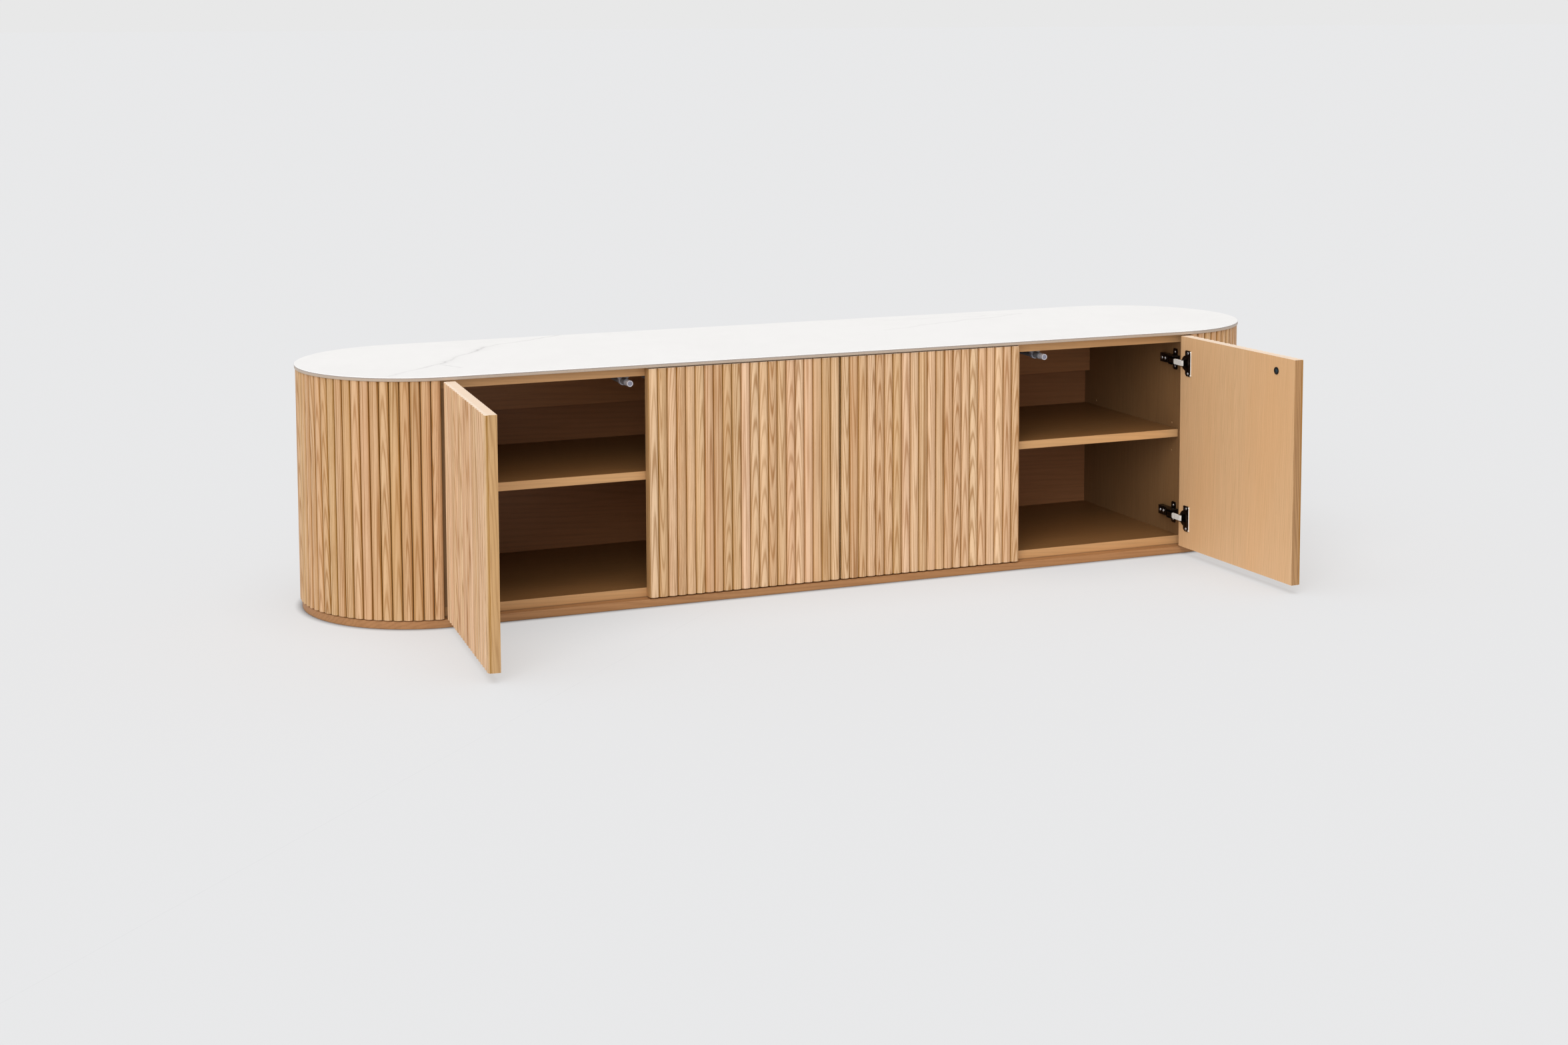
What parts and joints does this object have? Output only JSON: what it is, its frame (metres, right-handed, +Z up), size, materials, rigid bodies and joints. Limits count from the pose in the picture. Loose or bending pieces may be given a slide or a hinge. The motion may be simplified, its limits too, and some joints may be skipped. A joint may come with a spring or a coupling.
{
  "type": "media cabinet",
  "caption": "Low media cabinet with half-round reeded ends, a thin ceramic top, hinged reeded doors, shelves, concealed hinges and push latches.",
  "frame": {"origin": "on the floor, under the middle of the cabinet's length and depth (the doors, two of which stand open, are left out of that middle)", "axes": "+Z up; -Y is the side with the doors; +X runs along the length to the right as seen from the front"},
  "size_m": [2.2, 0.9361, 0.508],
  "materials": {
    "ceramic": "satin, white with faint grey veins and a thin warm beige edge",
    "oak_board": "matt lacquered light oak veneer",
    "reeded_oak": "matt lacquered light oak, grain upright",
    "groove_oak": "matt stained backing board",
    "inner_oak": "matt lacquered oak veneer",
    "back_board": "matt oak-effect board",
    "black_nickel": "dark plated steel",
    "steel": "zinc-plated",
    "grey_plastic": "matt grey",
    "latch_grey": "light grey",
    "white_plastic": "white"
  },
  "bodies": {
    "cabinet": {"ceramic_top": "ceramic", "plinth": "oak_board", "carcass_bottom": "oak_board", "carcass_top": "oak_board", "side_panel_left": "inner_oak", "side_panel_right": "inner_oak", "centre_partition": "inner_oak", "back_panel_left": "back_board", "back_panel_right": "back_board", "rear_rail_left": "inner_oak", "rear_rail_right": "inner_oak", "shelf_left": "inner_oak", "shelf_right": "inner_oak", "shelf_pins": "steel", "end_formers_left": "inner_oak", "end_formers_right": "inner_oak", "end_shell_left": "groove_oak", "end_shell_right": "groove_oak", "end_slats_left": "reeded_oak", "end_slats_right": "reeded_oak", "carcass_dowels": "inner_oak", "hinge_plates": "black_nickel", "hinge_arms": "black_nickel", "hinge_plate_screws": "steel", "latch_bodies": "grey_plastic", "latch_clips": "grey_plastic", "latch_screws": "steel"},
    "door_1": {"door_1_panel": "oak_board", "door_1_slats": "reeded_oak", "door_1_hinge_cups": "black_nickel", "door_1_hinge_trims": "white_plastic", "door_1_cup_screws": "steel", "door_1_strike": "black_nickel"},
    "door_1_links": {"door_1_hinge_links": "white_plastic"},
    "latch_1": {"latch_1_plunger": "latch_grey"},
    "door_2": {"door_2_panel": "oak_board", "door_2_slats": "reeded_oak", "door_2_hinge_cups": "black_nickel", "door_2_hinge_trims": "white_plastic", "door_2_cup_screws": "steel", "door_2_strike": "black_nickel"},
    "door_2_links": {"door_2_hinge_links": "white_plastic"},
    "latch_2": {"latch_2_plunger": "latch_grey"},
    "door_3": {"door_3_panel": "oak_board", "door_3_slats": "reeded_oak", "door_3_hinge_cups": "black_nickel", "door_3_hinge_trims": "white_plastic", "door_3_cup_screws": "steel", "door_3_strike": "black_nickel"},
    "door_3_links": {"door_3_hinge_links": "white_plastic"},
    "latch_3": {"latch_3_plunger": "latch_grey"},
    "door_4": {"door_4_panel": "oak_board", "door_4_slats": "reeded_oak", "door_4_hinge_cups": "black_nickel", "door_4_hinge_trims": "white_plastic", "door_4_cup_screws": "steel", "door_4_strike": "black_nickel"},
    "door_4_links": {"door_4_hinge_links": "white_plastic"},
    "latch_4": {"latch_4_plunger": "latch_grey"}
  },
  "joints": [
    {"name": "door_1_swing", "type": "hinge", "parent": "cabinet", "child": "door_1", "pos_m": [-0.8595, -0.253, 0.2525], "axis": [0, 0, -1], "range_deg": [-94.5, 10.5]},
    {"name": "door_1_link_turn", "type": "hinge", "parent": "door_1", "child": "door_1_links", "pos_m": [-0.82851, -0.27349, 0.2525], "axis": [0, 0, -1], "range_deg": [-10.5, 94.5]},
    {"name": "latch_1_travel", "type": "slide", "parent": "cabinet", "child": "latch_1", "axis": [0, -1, 0], "range_m": [-0.0108, 0.0012]},
    {"name": "door_2_swing", "type": "hinge", "parent": "cabinet", "child": "door_2", "pos_m": [-0.0015, -0.253, 0.2525], "axis": [0, 0, 1], "range_deg": [0, 90]},
    {"name": "door_2_link_turn", "type": "hinge", "parent": "door_2", "child": "door_2_links", "pos_m": [-0.0195, -0.2205, 0.2525], "axis": [0, 0, 1], "range_deg": [-90, 0]},
    {"name": "latch_2_travel", "type": "slide", "parent": "cabinet", "child": "latch_2", "axis": [0, -1, 0], "range_m": [0, 0.01029]},
    {"name": "door_3_swing", "type": "hinge", "parent": "cabinet", "child": "door_3", "pos_m": [0.0015, -0.253, 0.2525], "axis": [0, 0, -1], "range_deg": [0, 90]},
    {"name": "door_3_link_turn", "type": "hinge", "parent": "door_3", "child": "door_3_links", "pos_m": [0.0195, -0.2205, 0.2525], "axis": [0, 0, -1], "range_deg": [-90, 0]},
    {"name": "latch_3_travel", "type": "slide", "parent": "cabinet", "child": "latch_3", "axis": [0, -1, 0], "range_m": [0, 0.01029]},
    {"name": "door_4_swing", "type": "hinge", "parent": "cabinet", "child": "door_4", "pos_m": [0.8595, -0.253, 0.2525], "axis": [0, 0, 1], "range_deg": [-91.5, 13.5]},
    {"name": "door_4_link_turn", "type": "hinge", "parent": "door_4", "child": "door_4_links", "pos_m": [0.82748, -0.27185, 0.2525], "axis": [0, 0, 1], "range_deg": [-13.5, 91.5]},
    {"name": "latch_4_travel", "type": "slide", "parent": "cabinet", "child": "latch_4", "axis": [0, -1, 0], "range_m": [-0.01046, 0.00154]}
  ],
  "couplings": [
    {"joint": "door_1_link_turn", "follows": "door_1_swing", "ratio": -1},
    {"joint": "latch_1_travel", "follows": "door_1_swing", "m_per_rad": 0.0065481},
    {"joint": "door_2_link_turn", "follows": "door_2_swing", "ratio": -1},
    {"joint": "latch_2_travel", "follows": "door_2_swing", "m_per_rad": 0.0065481},
    {"joint": "door_3_link_turn", "follows": "door_3_swing", "ratio": -1},
    {"joint": "latch_3_travel", "follows": "door_3_swing", "m_per_rad": 0.0065481},
    {"joint": "door_4_link_turn", "follows": "door_4_swing", "ratio": -1},
    {"joint": "latch_4_travel", "follows": "door_4_swing", "m_per_rad": 0.0065481}
  ]
}
